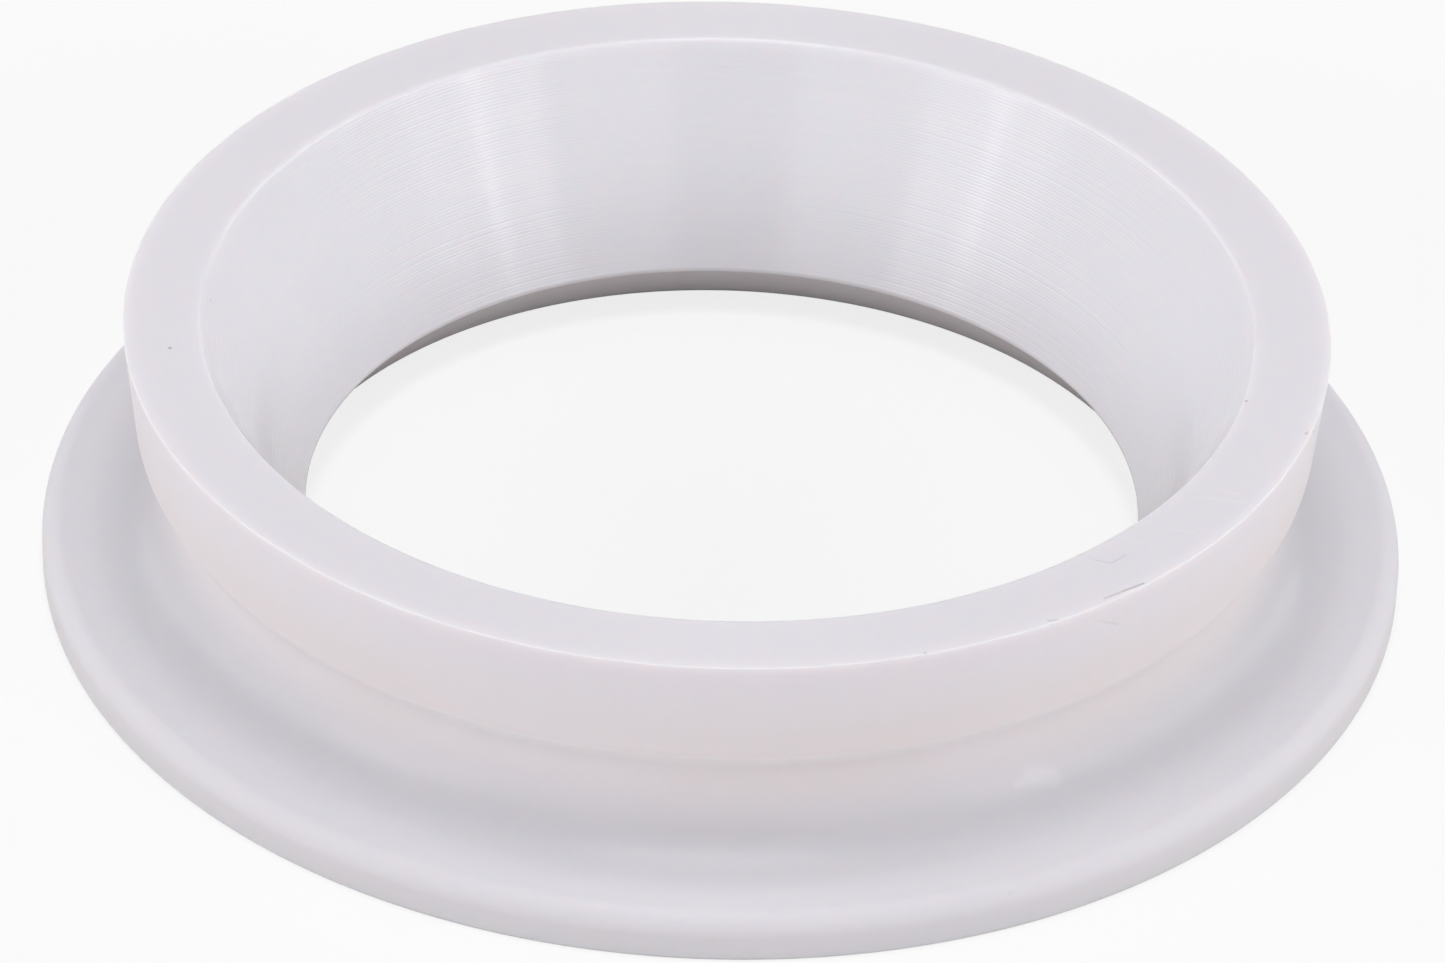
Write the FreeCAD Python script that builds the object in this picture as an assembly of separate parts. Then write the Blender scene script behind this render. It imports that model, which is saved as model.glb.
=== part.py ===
# Toilet flange: one ring turned from white plastic. All sizes are in millimetres.
# The origin is the centre of the underside, and +Z runs up the axis towards the rim.

import FreeCAD, Part
import math
import os

NODE = "flange_ring"

# Driving dimensions
RIM_RADIUS = 55.0           # outer edge of the flat rim, for a 110 mm soil pipe
RIM_HEIGHT = 25.4           # the ring is a one inch plate, turned
RIM_INNER_RADIUS = 48.0     # where the funnel meets the rim
THROAT_RADIUS = 38.5        # the narrowest place, a 77 mm passage
THROAT_HEIGHT = 4.9
FLARE_RADIUS = 42.4         # mouth of the flare, in the underside
FLANGE_RADIUS = 62.9
FLANGE_THICKNESS = 4.2

# The collar's wall leans in from the rim to its foot, which curls under into the cove.
COLLAR_FOOT_RADIUS = 54.0
COLLAR_FOOT_HEIGHT = 15.0
UNDERCUT_ANGLE = 45.0       # slope of the overhang, in degrees from level

# Rounds, in the order of the outline
FLARE_MOUTH_ROUND = 0.2
THROAT_ROUND = 0.5
RIM_INNER_ROUND = 0.5
RIM_OUTER_ROUND = 0.08
COLLAR_FOOT_ROUND = 3.2
COVE_ROUND = 5.8
FLANGE_TOP_ROUND = 1.8
FLANGE_BOTTOM_ROUND = 0.3


def half_plane_point(radius, height):
    """A point of the outline, in the half plane of +X and Z."""
    return FreeCAD.Vector(radius, 0, height)


def rounded_corner(before, corner, after, radius):
    """The arc that rounds a corner of the outline, with the points where it starts and ends."""
    to_before = (before - corner).normalize()
    to_after = (after - corner).normalize()
    bisector = (to_before + to_after).normalize()
    half_angle = to_before.getAngle(to_after) / 2
    setback = radius / math.tan(half_angle)
    start = corner + to_before * setback
    end = corner + to_after * setback
    middle = corner + bisector * (radius / math.sin(half_angle) - radius)
    return Part.Arc(start, middle, end).toShape(), start, end


def rounded_outline(corners):
    """A closed wire through the corners, each given as a point and the radius of its round."""
    points = [point for point, _ in corners]
    rounds = []
    for i, (corner, radius) in enumerate(corners):
        following = points[(i + 1) % len(points)]
        rounds.append(rounded_corner(points[i - 1], corner, following, radius))
    edges = []
    for i, (arc, start, _) in enumerate(rounds):
        end_of_last = rounds[i - 1][2]
        edges.append(Part.LineSegment(end_of_last, start).toShape())
        edges.append(arc)
    return Part.Wire(edges)


def flange_ring():
    """The ring, turned about Z from its section."""
    undercut_drop = COLLAR_FOOT_HEIGHT - FLANGE_THICKNESS
    cove_corner = COLLAR_FOOT_RADIUS - undercut_drop / math.tan(math.radians(UNDERCUT_ANGLE))
    section = rounded_outline([
        (half_plane_point(FLARE_RADIUS, 0), FLARE_MOUTH_ROUND),
        (half_plane_point(THROAT_RADIUS, THROAT_HEIGHT), THROAT_ROUND),
        (half_plane_point(RIM_INNER_RADIUS, RIM_HEIGHT), RIM_INNER_ROUND),
        (half_plane_point(RIM_RADIUS, RIM_HEIGHT), RIM_OUTER_ROUND),
        (half_plane_point(COLLAR_FOOT_RADIUS, COLLAR_FOOT_HEIGHT), COLLAR_FOOT_ROUND),
        (half_plane_point(cove_corner, FLANGE_THICKNESS), COVE_ROUND),
        (half_plane_point(FLANGE_RADIUS, FLANGE_THICKNESS), FLANGE_TOP_ROUND),
        (half_plane_point(FLANGE_RADIUS, 0), FLANGE_BOTTOM_ROUND),
    ])
    return Part.Face(section).revolve(FreeCAD.Vector(0, 0, 0), FreeCAD.Vector(0, 0, 1), 360)


os.makedirs("parts", exist_ok=True)
ring = flange_ring()
ring.exportStep(f"parts/{NODE}.step")
box = ring.optimalBoundingBox()
print(f"{NODE}: {ring.ShapeType}, valid {ring.isValid()}, volume {ring.Volume:.0f} mm3")
print(f"across {box.XLength:.2f} by {box.YLength:.2f} mm, high {box.ZLength:.2f} mm")
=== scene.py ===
"""A one-piece toilet flange turned from white plastic, on a pale studio floor.

The ring is turned from its section in metres, with the scallops that the lathe tool left in the funnel,
and dressed in a translucent plastic with fine turning marks, specks and scuffs, with light and shade
painted into its colour in places.
"""

import logging
import math
import random
from collections.abc import Sequence
from dataclasses import dataclass, field
from typing import Any

import bmesh
import bpy
from mathutils import Matrix, Vector

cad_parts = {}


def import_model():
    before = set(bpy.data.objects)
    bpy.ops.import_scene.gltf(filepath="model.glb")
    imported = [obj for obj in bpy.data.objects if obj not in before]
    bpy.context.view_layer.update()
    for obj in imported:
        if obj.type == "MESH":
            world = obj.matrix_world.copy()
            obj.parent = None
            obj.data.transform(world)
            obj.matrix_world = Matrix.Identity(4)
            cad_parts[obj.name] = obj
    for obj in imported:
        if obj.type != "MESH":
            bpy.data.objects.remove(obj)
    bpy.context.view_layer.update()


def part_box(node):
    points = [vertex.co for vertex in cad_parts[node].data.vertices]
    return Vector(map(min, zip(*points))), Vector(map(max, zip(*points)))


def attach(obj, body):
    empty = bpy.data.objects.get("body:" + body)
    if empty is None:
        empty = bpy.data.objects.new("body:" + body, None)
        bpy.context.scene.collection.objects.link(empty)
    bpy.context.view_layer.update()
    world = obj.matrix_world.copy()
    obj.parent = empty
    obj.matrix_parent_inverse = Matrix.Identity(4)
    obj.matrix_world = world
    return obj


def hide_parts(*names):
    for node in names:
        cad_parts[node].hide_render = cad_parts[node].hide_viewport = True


LOG = logging.getLogger("toilet_flange")
MM = 0.001
FULL_TURN = 2 * math.pi
Y_AXIS = Vector((0, 1, 0))
Z_AXIS = Vector((0, 0, 1))
FUNNEL_TOP = 2  # the place of the funnel's upper corner in the section


# ---------------------------------------------------------------- shader graphs


class Value:
    """A number or a vector on its way through a shader: a socket whose operators add maths nodes."""

    def __init__(self, graph: "Graph", socket: bpy.types.NodeSocket) -> None:
        """Wraps a socket of a graph."""
        self.graph = graph
        self.socket = socket

    def __add__(self, other: "Value | float") -> "Value":
        """self + other."""
        return self.graph.maths("ADD", self, other)

    def __sub__(self, other: "Value | float") -> "Value":
        """self - other."""
        return self.graph.maths("SUBTRACT", self, other)

    def __rsub__(self, other: float) -> "Value":
        """other - self."""
        return self.graph.maths("SUBTRACT", other, self)

    def __mul__(self, other: "Value | float") -> "Value":
        """self * other."""
        return self.graph.maths("MULTIPLY", self, other)

    def __truediv__(self, other: "Value | float") -> "Value":
        """self / other."""
        return self.graph.maths("DIVIDE", self, other)

    def root(self) -> "Value":
        """The square root."""
        return self.graph.maths("SQRT", self)

    def held(self) -> "Value":
        """The value, kept between 0 and 1."""
        return self.graph.maths("ADD", self, 0.0, clamp=True)

    def larger(self, other: "Value | float") -> "Value":
        """The larger of self and other."""
        return self.graph.maths("MAXIMUM", self, other)

    def step(self, low: float, high: float) -> "Value":
        """A soft step, from 0 where the value is low to 1 where it is high."""
        node = self.graph.node(
            "ShaderNodeMapRange",
            settings={"interpolation_type": "SMOOTHSTEP"},
            inputs={"Value": self, "From Min": low, "From Max": high},
        )
        return self.graph.value(node, "Result")

    def vector_maths(self, operation: str, *others: Any, output: str = "Vector") -> "Value":
        """Adds a Vector Math node with this vector first.

        Args:
            operation: Blender's name of the operation.
            others: the other inputs, vectors or values.
            output: the output that is wanted.

        Returns:
            The node's result.
        """
        inputs = dict(enumerate((self, *others)))
        return self.graph.value(
            self.graph.node("ShaderNodeVectorMath", {"operation": operation}, inputs), output)

    def parts(self) -> "tuple[Value, Value, Value]":
        """The three parts of a vector."""
        node = self.graph.node("ShaderNodeSeparateXYZ", inputs={"Vector": self})
        return tuple(self.graph.value(node, name) for name in "XYZ")

    def distance(self, point: "Vector | Value") -> "Value":
        """How far this place is from a point."""
        return self.vector_maths("DISTANCE", point, output="Value")

    def distance_to_line(self, start: Vector, end: Vector) -> "Value":
        """How far this place is from the straight piece between two points."""
        way = end - start
        from_start = self.vector_maths("SUBTRACT", start)
        share = from_start.vector_maths("DOT_PRODUCT", way / way.length_squared, output="Value").held()
        nearest = self.graph.vector(share, share, share).vector_maths("MULTIPLY_ADD", way, start)
        return self.distance(nearest)


class Graph:
    """The node graph of one material."""

    def __init__(self, name: str) -> None:
        """Makes the material and clears its nodes."""
        self.material = bpy.data.materials.new(name)
        self.material.use_nodes = True
        self.material.node_tree.nodes.clear()

    def node(
        self,
        kind: str,
        settings: dict[str, Any] | None = None,
        inputs: dict[str | int, Any] | None = None,
    ) -> bpy.types.Node:
        """Adds a node.

        Args:
            kind: the node's type, such as ShaderNodeTexNoise.
            settings: the node's own properties, set before its sockets.
            inputs: a value or a link for each socket, by name or number.

        Returns:
            The node.
        """
        node = self.material.node_tree.nodes.new(kind)
        for name, setting in (settings or {}).items():
            setattr(node, name, setting)
        for name, given in (inputs or {}).items():
            self.feed(node.inputs[name], given)
        return node

    def feed(self, socket: bpy.types.NodeSocket, given: Any) -> None:
        """Links a socket to a value or an output, or sets it to a constant."""
        if isinstance(given, Value):
            given = given.socket
        if isinstance(given, bpy.types.NodeSocket):
            self.material.node_tree.links.new(given, socket)
        else:
            socket.default_value = given

    def value(self, node: bpy.types.Node, output: str | int = 0) -> Value:
        """A node's output as a number."""
        return Value(self, node.outputs[output])

    def maths(self, operation: str, *terms: Value | float, clamp: bool = False) -> Value:
        """Adds a Math node over the terms and returns its result."""
        settings = {"operation": operation, "use_clamp": clamp}
        return self.value(self.node("ShaderNodeMath", settings, dict(enumerate(terms))))

    def vector(self, x: Value | float, y: Value | float, z: Value | float) -> Value:
        """A vector of three values."""
        return self.value(self.node("ShaderNodeCombineXYZ", inputs={"X": x, "Y": y, "Z": z}))

    def noise(self, place: Value, scale: float, detail: float = 2.0) -> Value:
        """Smooth noise about 0.5, with the given number of bumps to a metre."""
        inputs = {"Vector": place, "Scale": scale, "Detail": detail}
        return self.value(self.node("ShaderNodeTexNoise", inputs=inputs))

    def mix_colours(self, factor: Value, first: Any, second: Any) -> bpy.types.NodeSocket:
        """The first colour where factor is 0, the second where it is 1."""
        node = self.node("ShaderNodeMix", {"data_type": "RGBA"})
        self.feed(node.inputs["Factor"], factor)
        colour_inputs = [socket for socket in node.inputs if socket.type == "RGBA"]
        self.feed(colour_inputs[0], first)
        self.feed(colour_inputs[1], second)
        return next(socket for socket in node.outputs if socket.type == "RGBA")


# ---------------------------------------------------------------- the plastic


@dataclass(frozen=True)
class Spot:
    """A place on the ring.

    Attributes:
        azimuth: its direction from the axis, in degrees from +X towards +Y.
        radius: its distance from the axis, in millimetres.
        height: its height over the floor, in millimetres.
    """

    azimuth: float
    radius: float
    height: float

    @property
    def place(self) -> Vector:
        """The place in the ring's frame, in metres."""
        turn = math.radians(self.azimuth)
        return Vector((self.radius * math.cos(turn), self.radius * math.sin(turn), self.height)) * MM


@dataclass(frozen=True)
class Speck:
    """A dark grain in the plastic.

    Attributes:
        centre: where it is.
        size: its radius, in metres.
        darkness: how much of the plastic's colour it hides, from 0 to 1.
    """

    centre: Spot
    size: float
    darkness: float

    def cover(self, place: Value) -> Value:
        """How much of each place it hides."""
        return (1.0 - place.distance(self.centre.place).step(0.4 * self.size, self.size)) * self.darkness


@dataclass(frozen=True)
class Scratch:
    """A fine straight scratch.

    Attributes:
        start: where it begins.
        end: where it ends.
        width: its width, in metres.
        strength: how plainly it shows, from 0 to 1.
    """

    start: Spot
    end: Spot
    width: float
    strength: float

    def cover(self, place: Value) -> Value:
        """How much of each place it marks."""
        away = place.distance_to_line(self.start.place, self.end.place)
        return (1.0 - away.step(0.2 * self.width, 0.7 * self.width)) * self.strength


@dataclass(frozen=True)
class TurnedPlastic:
    """White plastic, slightly translucent, as the lathe left it, with light and shade painted into its
    colour in places.

    Attributes:
        name: what the material is called.
        rim_colour: the colour of the faced rim.
        lit_funnel_colour: the colour of the funnel, a lighter copy of the rim's that paints light on it.
        shaded_flange_colour: the colour of the cove and the flange, a darker copy of the rim's that
            paints shade on them.
        warm_bounce_colour: the warm tint of painted bounce light on the collar's wall and the cove, part
            of it in creamy clouds of uneven tone.
        speck_colour: the colour of the grains.
        pale_scuff_and_light_colour: the colour of scuffs, of the painted highlight on the cove's scuffs
            and of the painted light at the collar's foot.
        funnel_roughness: how matt the funnel is.
        rim_roughness: how matt the rim and the collar's wall are.
        flange_roughness: how matt the cove and the flange are.
        edge_roughness: how matt the flange's worn edge is.
        brushing: how far the turning marks spread a highlight across them.
        refraction: the plastic's index of refraction.
        light_reach: how far light travels inside it.
        mark_pitch: the distance between fine turning marks.
        mark_depth: how deep they are.
        mark_wander: how many times a mark changes over a radius's width, going round.
        gloss_wander: how far the marks change the roughness.
        grain_depth: how deep the surface's fine grain is.
        grain_scale: how many grains there are to a metre.
        cloud_scale: how many creamy clouds there are to a metre.
        cloud_edge: the noise over which a cloud begins.
        cloud_share: how much of the warm tint comes in clouds, and the rest evenly.
        collar_wall: the heights over which the painted warm bounce on the collar's wall fades out
            upwards.
        cove_wall: the heights over which the painted shade of the flange and the cove gives way to the
            collar's colour.
        collar_foot: the heights at which the band of painted light at the collar's foot starts, is full,
            fades and ends.
        foot_painted_light: how far the collar's foot is lightened, painted light over the shade of its
            undercut, from 0 to 1.
        flange_edge: the radii over which the flange turns into its worn edge.
        funnel_mouth: the radii over which the funnel turns into the rim.
        underside: the heights over which the underside turns into the rest.
        specks: the dark grains.
        cuts: the dark scratches, and a nick in the rim's outer edge whose darkness is painted shade.
        scuffs: the scratches that are paler than the plastic; those in the cove are also a painted
            highlight.
    """

    name: str = "turned_white_plastic"
    rim_colour: tuple[float, float, float, float] = (0.815, 0.792, 0.842, 1.0)
    # The funnel's lighter colour is painted light; the flange's darker colour is painted shade.
    lit_funnel_colour: tuple[float, float, float, float] = (0.832, 0.820, 0.868, 1.0)
    shaded_flange_colour: tuple[float, float, float, float] = (0.722, 0.710, 0.752, 1.0)
    # The warm colour is painted bounce light on the collar.
    warm_bounce_colour: tuple[float, float, float, float] = (0.795, 0.750, 0.768, 1.0)
    speck_colour: tuple[float, float, float, float] = (0.10, 0.08, 0.09, 1.0)
    # Pale for scuffs, for the painted light at the collar's foot and for the painted highlight in the
    # cove.
    pale_scuff_and_light_colour: tuple[float, float, float, float] = (0.90, 0.88, 0.90, 1.0)
    funnel_roughness: float = 0.17
    rim_roughness: float = 0.50
    flange_roughness: float = 0.30
    edge_roughness: float = 0.55
    brushing: float = 0.82
    refraction: float = 1.50
    light_reach: tuple[float, float, float] = (1.3 * MM, 1.05 * MM, 1.0 * MM)
    mark_pitch: float = 0.16 * MM
    mark_depth: float = 0.003 * MM
    mark_wander: float = 2.0
    gloss_wander: float = 0.06
    grain_depth: float = 0.0012 * MM
    grain_scale: float = 2500.0
    cloud_scale: float = 35.0
    cloud_edge: tuple[float, float] = (0.35, 0.65)
    cloud_share: float = 0.4
    collar_wall: tuple[float, float] = (15.0 * MM, 23.5 * MM)
    cove_wall: tuple[float, float] = (4.5 * MM, 11.0 * MM)
    # The collar's foot band is painted light over the shade of the undercut.
    collar_foot: tuple[float, float, float, float] = (12.4 * MM, 13.9 * MM, 14.4 * MM, 15.4 * MM)
    foot_painted_light: float = 0.72
    flange_edge: tuple[float, float] = (58.5 * MM, 61.0 * MM)
    funnel_mouth: tuple[float, float] = (47.9 * MM, 48.25 * MM)
    underside: tuple[float, float] = (0.05 * MM, 0.5 * MM)
    specks: tuple[Speck, ...] = (
        Speck(Spot(-170.1, 50.94, 25.4), 0.24 * MM, 0.50),
        Speck(Spot(178.2, 47.30, 23.9), 0.26 * MM, 0.20),
        Speck(Spot(-14.2, 48.25, 25.4), 0.24 * MM, 0.38),
        Speck(Spot(-102.0, 52.40, 6.2), 0.26 * MM, 0.40),
        Speck(Spot(-65.4, 62.80, 3.9), 0.60 * MM, 0.20),
        Speck(Spot(-71.1, 54.80, 25.4), 0.24 * MM, 0.22),
    )
    cuts: tuple[Scratch, ...] = (
        # The nick across the rim's outer edge: painted shade in place of the notch.
        Scratch(Spot(-17.9, 54.58, 25.4), Spot(-15.9, 54.91, 24.6), 0.34 * MM, 0.24),
        Scratch(Spot(-52.3, 54.40, 25.4), Spot(-50.2, 54.50, 25.4), 0.22 * MM, 0.26),
        Scratch(Spot(-50.2, 54.50, 25.4), Spot(-47.9, 54.75, 25.4), 0.26 * MM, 0.34),
        Scratch(Spot(-58.7, 54.55, 25.4), Spot(-57.9, 54.80, 25.4), 0.20 * MM, 0.24),
        Scratch(Spot(-49.0, 49.44, 25.4), Spot(-47.9, 50.80, 25.4), 0.16 * MM, 0.16),
        Scratch(Spot(-47.9, 50.80, 25.4), Spot(-45.9, 50.73, 25.4), 0.16 * MM, 0.16),
        Scratch(Spot(-53.5, 54.70, 23.8), Spot(-50.7, 54.65, 22.2), 0.30 * MM, 0.10),
        Scratch(Spot(-57.5, 52.75, 5.9), Spot(-52.4, 53.09, 5.6), 0.24 * MM, 0.16),
    )
    scuffs: tuple[Scratch, ...] = (
        Scratch(Spot(-39.4, 50.83, 25.4), Spot(-38.3, 52.89, 25.4), 0.18 * MM, 0.50),
        Scratch(Spot(-33.2, 49.76, 25.4), Spot(-31.1, 53.75, 25.4), 0.18 * MM, 0.45),
        Scratch(Spot(-30.8, 50.29, 25.4), Spot(-30.2, 52.80, 25.4), 0.18 * MM, 0.45),
        Scratch(Spot(-43.7, 49.41, 25.4), Spot(-42.6, 52.03, 25.4), 0.18 * MM, 0.35),
        # These scuffs in the cove lie on its highlight: partly scuffs, partly a painted highlight.
        Scratch(Spot(-57.8, 52.35, 7.0), Spot(-55.6, 52.80, 6.4), 1.80 * MM, 0.28),
        Scratch(Spot(-59.5, 52.60, 6.7), Spot(-56.2, 52.35, 7.0), 0.80 * MM, 0.22),
        Scratch(Spot(-52.2, 51.90, 6.9), Spot(-52.0, 52.70, 5.9), 0.18 * MM, 0.45),
        Scratch(Spot(-67.0, 52.00, 6.7), Spot(-59.9, 52.50, 6.1), 0.50 * MM, 0.30),
    )

    def material(self) -> bpy.types.Material:
        """Builds the material.

        Returns:
            The material, with its nodes.
        """
        graph = Graph(self.name)
        place = graph.value(graph.node("ShaderNodeTexCoord"), "Object")
        x, y, z = place.parts()
        radius = (x * x + y * y).root()
        around = graph.vector(
            x / radius * self.mark_wander,
            y / radius * self.mark_wander,
            (radius + z) / (2 * self.mark_pitch),
        )
        marks = graph.noise(around, 1.0, 3.0)
        outside = radius.step(*self.funnel_mouth).larger(1.0 - z.step(*self.underside))
        # A warm tint of painted bounce light on the collar's wall and the cove, part of it in clouds of
        # uneven creamy tone.
        warm_bounce = (1.0 - z.step(*self.collar_wall)) * outside
        # The cove and the flange take a darker copy of the colour, painted shade; this mask also sets
        # their roughness.
        shaded_cove_and_flange = (1.0 - z.step(*self.cove_wall)) * outside
        clouds = graph.noise(place, self.cloud_scale, 4.0).step(*self.cloud_edge)
        warm_bounce = (clouds * self.cloud_share + (1 - self.cloud_share)) * warm_bounce
        # The funnel's lighter colour is painted light.
        colour = graph.mix_colours(outside, self.lit_funnel_colour, self.rim_colour)
        colour = graph.mix_colours(warm_bounce, colour, self.warm_bounce_colour)
        colour = graph.mix_colours(shaded_cove_and_flange, colour, self.shaded_flange_colour)
        # A pale band at the collar's foot is painted light over the shade of the undercut.
        above, below = z.step(*self.collar_foot[:2]), 1.0 - z.step(*self.collar_foot[2:])
        foot = above * below * outside
        colour = graph.mix_colours(foot * self.foot_painted_light, colour, self.pale_scuff_and_light_colour)
        # Dark specks and cuts; the nick among the cuts is painted shade.
        hidden = self._all_over([mark.cover(place) for mark in (*self.specks, *self.cuts)])
        colour = graph.mix_colours(hidden, colour, self.speck_colour)
        # Pale scuffs; in the cove they also paint a highlight.
        scuffed_and_lit = self._all_over([scuff.cover(place) for scuff in self.scuffs])
        colour = graph.mix_colours(scuffed_and_lit, colour, self.pale_scuff_and_light_colour)
        matt = outside * (self.rim_roughness - self.funnel_roughness) + self.funnel_roughness
        matt = matt + shaded_cove_and_flange * (self.flange_roughness - self.rim_roughness)
        edge = radius.step(*self.flange_edge)
        matt = matt + edge * (self.edge_roughness - self.flange_roughness)
        height = marks * self.mark_depth + graph.noise(place, self.grain_scale) * self.grain_depth
        bump = graph.node("ShaderNodeBump", inputs={"Strength": 1.0, "Distance": 1.0, "Height": height})
        surface = graph.node(
            "ShaderNodeBsdfPrincipled",
            settings={"subsurface_method": "RANDOM_WALK"},
            inputs={
                "Base Color": colour,
                "Roughness": (marks - 0.5) * self.gloss_wander + matt,
                "IOR": self.refraction,
                "Anisotropic": self.brushing,
                "Anisotropic Rotation": 0.25,
                "Subsurface Weight": 1.0,
                "Subsurface Radius": self.light_reach,
                "Subsurface Scale": 1.0,
                "Normal": bump.outputs["Normal"],
            },
        )
        graph.node("ShaderNodeOutputMaterial", inputs={"Surface": surface.outputs[0]})
        return graph.material

    @staticmethod
    def _all_over(covers: Sequence[Value]) -> Value:
        """The largest of several covers at each place."""
        total = covers[0]
        for cover in covers[1:]:
            total = total.larger(cover)
        return total


# ---------------------------------------------------------------- the ring


@dataclass(frozen=True)
class Corner:
    """A corner of the ring's section, with the round that breaks it.

    Attributes:
        radius: distance from the ring's axis.
        height: height over the floor.
        round: radius of the arc that replaces the corner.
        steps: how many straight pieces the arc is made of.
    """

    radius: float
    height: float
    round: float
    steps: int

    @property
    def place(self) -> Vector:
        """The sharp corner, in the half plane of +X and Z."""
        return Vector((self.radius, 0, self.height))


@dataclass
class FlangeRing:
    """The turned ring: base flange, cove, collar, flat rim, funnel and flare.

    The sizes are in metres. The flange's radius and the rim's height come from the CAD frame.

    Attributes:
        flange_radius: the flange's outer radius.
        rim_height: the height of the flat rim.
        name: what the piece is called.
        flange_thickness: how thick the flange is.
        rim_radius: the rim's outer radius.
        rim_inner_radius: the radius at which the funnel meets the rim.
        throat_radius: the radius of the narrowest place.
        throat_height: its height.
        flare_radius: the radius of the flare's mouth in the underside.
        collar_foot_radius: the radius at the foot of the collar's wall.
        collar_foot_height: its height.
        undercut_slope: how far the overhang under the collar is from level.
        flare_mouth_round: the round at the flare's mouth.
        throat_round: the round at the throat.
        rim_inner_round: the round at the rim's inner edge.
        rim_outer_round: the round at its outer edge.
        collar_foot_round: the round at the collar's foot.
        cove_round: the radius of the cove.
        flange_top_round: the round at the flange's top edge.
        flange_bottom_round: the round at its bottom edge.
        scallops: how many marks the tool left down the funnel.
        scallop_depth: how deep they are on average.
        scallop_wander: how far a mark's depth may be from that, as a share of it.
        turn_steps: how many flats the ring is turned in.
        shoulder: the short flat that each straight run begins and ends with.
        finish: the plastic.
    """

    flange_radius: float
    rim_height: float
    name: str = "flange_ring_turned"
    flange_thickness: float = 4.2 * MM
    rim_radius: float = 55.0 * MM
    rim_inner_radius: float = 48.0 * MM
    throat_radius: float = 38.5 * MM
    throat_height: float = 4.9 * MM
    flare_radius: float = 42.4 * MM
    collar_foot_radius: float = 54.0 * MM
    collar_foot_height: float = 15.0 * MM
    undercut_slope: float = math.radians(45)
    flare_mouth_round: float = 0.2 * MM
    throat_round: float = 0.5 * MM
    rim_inner_round: float = 0.5 * MM
    rim_outer_round: float = 0.08 * MM
    collar_foot_round: float = 3.2 * MM
    cove_round: float = 5.8 * MM
    flange_top_round: float = 1.8 * MM
    flange_bottom_round: float = 0.3 * MM
    scallops: int = 70
    scallop_depth: float = 0.018 * MM
    scallop_wander: float = 0.55
    turn_steps: int = 360
    shoulder: float = 0.04 * MM
    finish: TurnedPlastic = field(default_factory=TurnedPlastic)

    def corners(self) -> list[Corner]:
        """The section's corners, from the flare's mouth up the inside and down the outside."""
        undercut_drop = self.collar_foot_height - self.flange_thickness
        cove_corner = self.collar_foot_radius - undercut_drop / math.tan(self.undercut_slope)
        return [
            Corner(self.flare_radius, 0, self.flare_mouth_round, 3),
            Corner(self.throat_radius, self.throat_height, self.throat_round, 6),
            Corner(self.rim_inner_radius, self.rim_height, self.rim_inner_round, 6),
            Corner(self.rim_radius, self.rim_height, self.rim_outer_round, 4),
            Corner(self.collar_foot_radius, self.collar_foot_height, self.collar_foot_round, 14),
            Corner(cove_corner, self.flange_thickness, self.cove_round, 28),
            Corner(self.flange_radius, self.flange_thickness, self.flange_top_round, 10),
            Corner(self.flange_radius, 0, self.flange_bottom_round, 4),
        ]

    def build(self) -> bpy.types.Object:
        """Turns the ring and dresses it.

        Returns:
            The finished object, at the origin.
        """
        ring = bmesh.new()
        ridge = ring.verts.layers.float.new("ridge")
        arcs = self._round_corners(ring)
        for i, arc in enumerate(arcs):
            self._join(ring, arcs[i - 1][-1], arc[0], ridge, scalloped=(i == FUNNEL_TOP))
        bmesh.ops.spin(
            ring, geom=ring.verts[:] + ring.edges[:], cent=(0, 0, 0), axis=Z_AXIS,
            angle=FULL_TURN, steps=self.turn_steps, use_merge=True,
        )
        bmesh.ops.recalc_face_normals(ring, faces=ring.faces)
        for face in ring.faces:
            face.smooth = True
        for edge in ring.edges:
            edge.smooth = not all(vert[ridge] > 0.5 for vert in edge.verts)
        ring.verts.layers.float.remove(ridge)
        mesh = bpy.data.meshes.new(self.name)
        ring.to_mesh(mesh)
        ring.free()
        piece = bpy.data.objects.new(self.name, mesh)
        bpy.context.scene.collection.objects.link(piece)
        mesh.materials.append(self.finish.material())
        return piece

    def _round_corners(self, ring: bmesh.types.BMesh) -> list[list[bmesh.types.BMVert]]:
        """Draws the arc of each corner, and returns its vertices in order."""
        corners = self.corners()
        arcs = []
        for i, corner in enumerate(corners):
            before = (corners[i - 1].place - corner.place).normalized()
            after = (corners[(i + 1) % len(corners)].place - corner.place).normalized()
            half_angle = before.angle(after) / 2
            start = corner.place + before * (corner.round / math.tan(half_angle))
            centre = corner.place + (before + after).normalized() * (corner.round / math.sin(half_angle))
            turn = math.pi - 2 * half_angle
            side = 1 if before.cross(after).y > 0 else -1
            vert = ring.verts.new(start)
            bmesh.ops.spin(
                ring, geom=[vert], cent=centre, axis=Y_AXIS, angle=-side * turn, steps=corner.steps)
            arcs.append(self._chain_from(vert))
        return arcs

    @staticmethod
    def _chain_from(vert: bmesh.types.BMVert) -> list[bmesh.types.BMVert]:
        """The vertices of an open chain of edges, from its first one."""
        chain = [vert]
        edge = vert.link_edges[0]
        while edge is not None:
            vert = edge.other_vert(vert)
            chain.append(vert)
            onward = [link for link in vert.link_edges if link is not edge]
            edge = onward[0] if onward else None
        return chain

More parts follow.
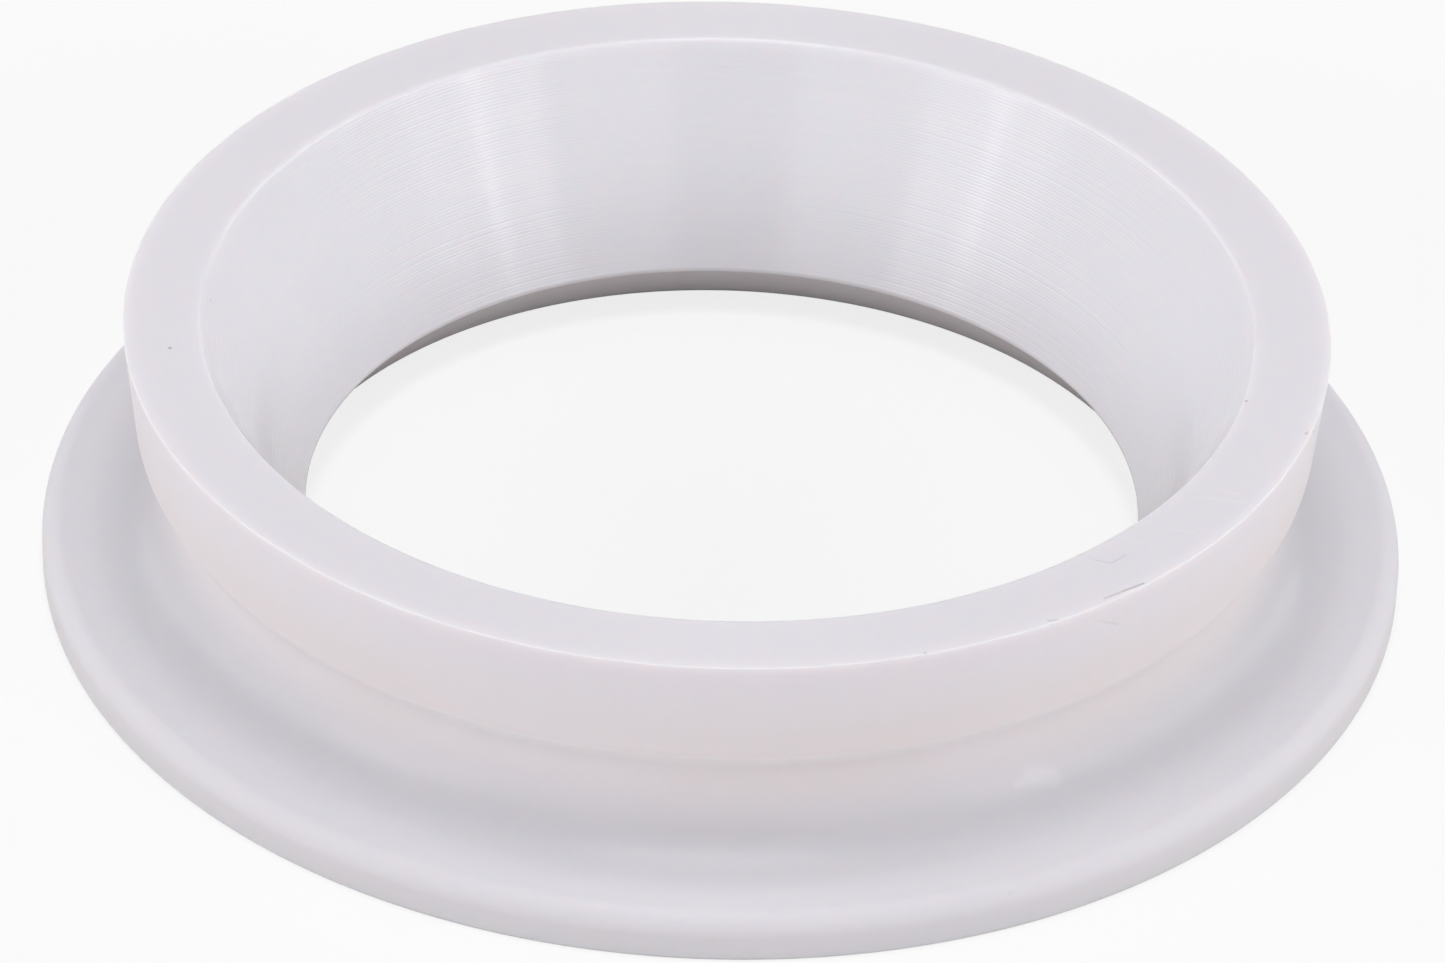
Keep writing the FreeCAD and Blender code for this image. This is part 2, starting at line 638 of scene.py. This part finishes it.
    def _join(
        self,
        ring: bmesh.types.BMesh,
        start: bmesh.types.BMVert,
        end: bmesh.types.BMVert,
        ridge: bmesh.types.BMLayerItem,
        scalloped: bool,
    ) -> None:
        """Draws a straight run of the section, with the tool's scallops if it is the funnel's.

        Args:
            ring: the section.
            start: the last vertex of the arc before the run.
            end: the first vertex of the arc after it.
            ridge: the layer that marks the scallops' ridges.
            scalloped: whether the run carries scallops.
        """
        way = end.co - start.co
        along = way.normalized()
        first = ring.verts.new(start.co + along * self.shoulder)
        last = ring.verts.new(end.co - along * self.shoulder)
        ring.edges.new((start, first))
        ring.edges.new((last, end))
        if not scalloped:
            ring.edges.new((first, last))
            return
        into_wall = Vector((along.z, 0, -along.x))
        span = last.co - first.co
        chance = random.Random(7)
        previous = first
        for i in range(1, 2 * self.scallops):
            vert = ring.verts.new(first.co + span * (i / (2 * self.scallops)))
            if i % 2:
                unevenness = 1 + self.scallop_wander * chance.uniform(-1, 1)
                vert.co += into_wall * self.scallop_depth * unevenness
            else:
                vert[ridge] = 1.0
            ring.edges.new((previous, vert))
            previous = vert
        ring.edges.new((previous, last))
        first[ridge] = 1.0
        last[ridge] = 1.0


# ---------------------------------------------------------------- the studio


@dataclass(frozen=True)
class Lamp:
    """A rectangular lamp that faces the ring.

    Attributes:
        name: what the lamp is called.
        azimuth: its direction from the ring, in degrees from the camera's side towards +X.
        elevation: its height over the floor as an angle, in degrees.
        distance: how far it stands from the ring, in metres.
        width: its width, in metres.
        height: its height, in metres.
        power: its power, in watts.
        colour: the colour of its light.
    """

    name: str
    azimuth: float
    elevation: float
    distance: float
    width: float
    height: float
    power: float
    colour: tuple[float, float, float] = (1.0, 1.0, 1.0)

    def place(self, target: Vector) -> None:
        """Hangs the lamp and turns it towards the target."""
        light = bpy.data.lights.new(self.name, "AREA")
        light.shape = "RECTANGLE"
        light.size = self.width
        light.size_y = self.height
        light.energy = self.power
        light.color = self.colour
        turn = math.radians(self.azimuth)
        lift = math.radians(self.elevation)
        out = Vector((math.sin(turn) * math.cos(lift), -math.cos(turn) * math.cos(lift), math.sin(lift)))
        lamp = bpy.data.objects.new(self.name, light)
        lamp.location = target + out * self.distance
        lamp.rotation_euler = out.to_track_quat("Z", "Y").to_euler()
        bpy.context.scene.collection.objects.link(lamp)


@dataclass(frozen=True)
class PaleFloor:
    """A white studio floor that holds only a faint shadow, and sends little light back up.

    Attributes:
        name: what the material is called.
        seen_colour: the colour that it is seen in.
        shadow_share: how much of it takes shadows, from 0 to 1.
        bounce_colour: the colour of the light that it sends back to the ring.
        shaded_bounce_colour: the same where the ring stands over it, darker: painted shade on the floor
            under the ring.
        ring_reach: the radii between which the one becomes the other.
    """

    name: str = "pale_floor"
    seen_colour: tuple[float, float, float, float] = (0.98, 0.98, 0.98, 1.0)
    shadow_share: float = 0.22
    bounce_colour: tuple[float, float, float, float] = (0.80, 0.76, 0.74, 1.0)
    # Darker bounce under the ring: painted shade.
    shaded_bounce_colour: tuple[float, float, float, float] = (0.50, 0.46, 0.43, 1.0)
    ring_reach: tuple[float, float] = (40.0 * MM, 70.0 * MM)

    def material(self) -> bpy.types.Material:
        """Builds the material.

        Returns:
            The material, with its nodes.
        """
        graph = Graph(self.name)
        place = graph.value(graph.node("ShaderNodeTexCoord"), "Object")
        x, y, _ = place.parts()
        # Under the ring the floor sends back a darker colour: painted shade under the ring.
        open_floor = (x * x + y * y).root().step(*self.ring_reach)
        bounced = graph.node("ShaderNodeBsdfDiffuse", inputs={
            "Color": graph.mix_colours(open_floor, self.shaded_bounce_colour, self.bounce_colour)})
        shaded = graph.node("ShaderNodeBsdfDiffuse", inputs={"Color": self.seen_colour})
        lit = graph.node("ShaderNodeEmission", inputs={"Color": self.seen_colour})
        seen = self._mix(graph, self.shadow_share, lit, shaded)
        is_seen = graph.value(graph.node("ShaderNodeLightPath"), "Is Camera Ray")
        surface = self._mix(graph, is_seen, bounced, seen)
        graph.node("ShaderNodeOutputMaterial", inputs={"Surface": surface.outputs[0]})
        return graph.material

    @staticmethod
    def _mix(
        graph: Graph, share: Value | float, first: bpy.types.Node, second: bpy.types.Node
    ) -> bpy.types.Node:
        """The first shader where share is 0, the second where it is 1."""
        return graph.node("ShaderNodeMixShader", inputs={
            0: share, 1: first.outputs[0], 2: second.outputs[0]})


@dataclass(frozen=True)
class Studio:
    """A pale floor, soft light and the camera.

    Attributes:
        rim_radius: the rim's outer radius, which the camera's place is measured in.
        floor_size: the floor's width, in metres.
        floor: the floor's material.
        sky_colour: the colour of the light from all round.
        sky_strength: its strength.
        camera_back: how far the camera stands from the ring's axis, in rim radii.
        camera_up: how high it stands, in rim radii.
        camera_tilt: how far it looks down, in degrees.
        camera_roll: how far it leans to the side, in degrees.
        sensor_width: the width of its sensor, in millimetres.
        lens: its focal length, in millimetres.
        near_clip: how near it sees, in metres.
        lamps: the lamps round the ring.
    """

    rim_radius: float
    floor_size: float = 6.0
    floor: PaleFloor = field(default_factory=PaleFloor)
    sky_colour: tuple[float, float, float, float] = (1.0, 1.0, 1.0, 1.0)
    sky_strength: float = 0.21
    camera_back: float = 10.0406
    camera_up: float = 7.0716
    camera_tilt: float = 34.696
    camera_roll: float = 1.799
    sensor_width: float = 36.0
    lens: float = 180.61
    near_clip: float = 0.01
    lamps: tuple[Lamp, ...] = (
        Lamp("top_panel", 0.0, 89.9, 1.5, 0.5, 0.5, 7.7),
        Lamp("left_strip", -61.0, 20.0, 1.45, 0.04, 0.6, 0.50),
        Lamp("right_strip", 59.0, 20.0, 1.45, 0.04, 0.6, 0.50),
        Lamp("left_front_panel", -30.0, 20.0, 1.5, 0.80, 0.5, 2.0),
        Lamp("right_front_panel", 30.0, 20.0, 1.5, 0.80, 0.5, 1.8),
        Lamp("left_panel", -60.0, 20.0, 1.5, 0.80, 0.5, 4.5),
        Lamp("right_panel", 60.0, 20.0, 1.5, 0.80, 0.5, 4.2),
        Lamp("left_side_panel", -90.0, 20.0, 1.5, 0.80, 0.5, 2.8),
        Lamp("right_side_panel", 90.0, 20.0, 1.5, 0.80, 0.5, 3.3),
        Lamp("left_back_panel", -120.0, 18.0, 1.5, 0.80, 0.5, 2.2),
        Lamp("right_back_panel", 120.0, 18.0, 1.5, 0.80, 0.5, 2.2),
        Lamp("back_panel", 180.0, 25.0, 1.5, 1.2, 0.6, 1.8),
        Lamp("front_panel", 0.0, 8.0, 1.5, 0.9, 0.4, 0.8),
    )

    def build(self) -> None:
        """Lays the floor, lights it and sets the camera up."""
        self._floor()
        self._sky()
        for lamp in self.lamps:
            lamp.place(Vector((0, 0, 0)))
        self._camera()
        bpy.context.scene.view_settings.view_transform = "Standard"

    def _floor(self) -> None:
        """The floor, a plain pale sheet."""
        sheet = bmesh.new()
        bmesh.ops.create_grid(sheet, x_segments=1, y_segments=1, size=self.floor_size / 2)
        mesh = bpy.data.meshes.new("studio_floor")
        sheet.to_mesh(mesh)
        sheet.free()
        mesh.materials.append(self.floor.material())
        floor = bpy.data.objects.new("studio_floor", mesh)
        bpy.context.scene.collection.objects.link(floor)

    def _sky(self) -> None:
        """Even light from all round."""
        world = bpy.data.worlds.new("studio_air")
        world.use_nodes = True
        background = world.node_tree.nodes["Background"]
        background.inputs["Color"].default_value = self.sky_colour
        background.inputs["Strength"].default_value = self.sky_strength
        bpy.context.scene.world = world

    def _camera(self) -> None:
        """A long lens, looking down on the ring from the front."""
        data = bpy.data.cameras.new("camera")
        data.sensor_fit = "HORIZONTAL"
        data.sensor_width = self.sensor_width
        data.lens = self.lens
        data.clip_start = self.near_clip
        camera = bpy.data.objects.new("camera", data)
        level = Matrix.Rotation(math.radians(90 - self.camera_tilt), 4, "X")
        roll = Matrix.Rotation(math.radians(self.camera_roll), 4, "Z")
        stand = Vector((0, -self.camera_back * self.rim_radius, self.camera_up * self.rim_radius))
        camera.matrix_world = Matrix.Translation(stand) @ level @ roll
        bpy.context.scene.collection.objects.link(camera)
        bpy.context.scene.camera = camera


def main() -> None:
    """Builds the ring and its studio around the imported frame."""
    logging.basicConfig(level=logging.INFO, format="%(name)s: %(message)s")
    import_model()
    low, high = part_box("flange_ring")
    ring = FlangeRing(flange_radius=high.x, rim_height=high.z)
    piece = ring.build()
    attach(piece, "root")
    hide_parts("flange_ring")
    LOG.info("%s: %d faces", piece.name, len(piece.data.polygons))
    Studio(rim_radius=ring.rim_radius).build()


if __name__ == "__main__":
    main()
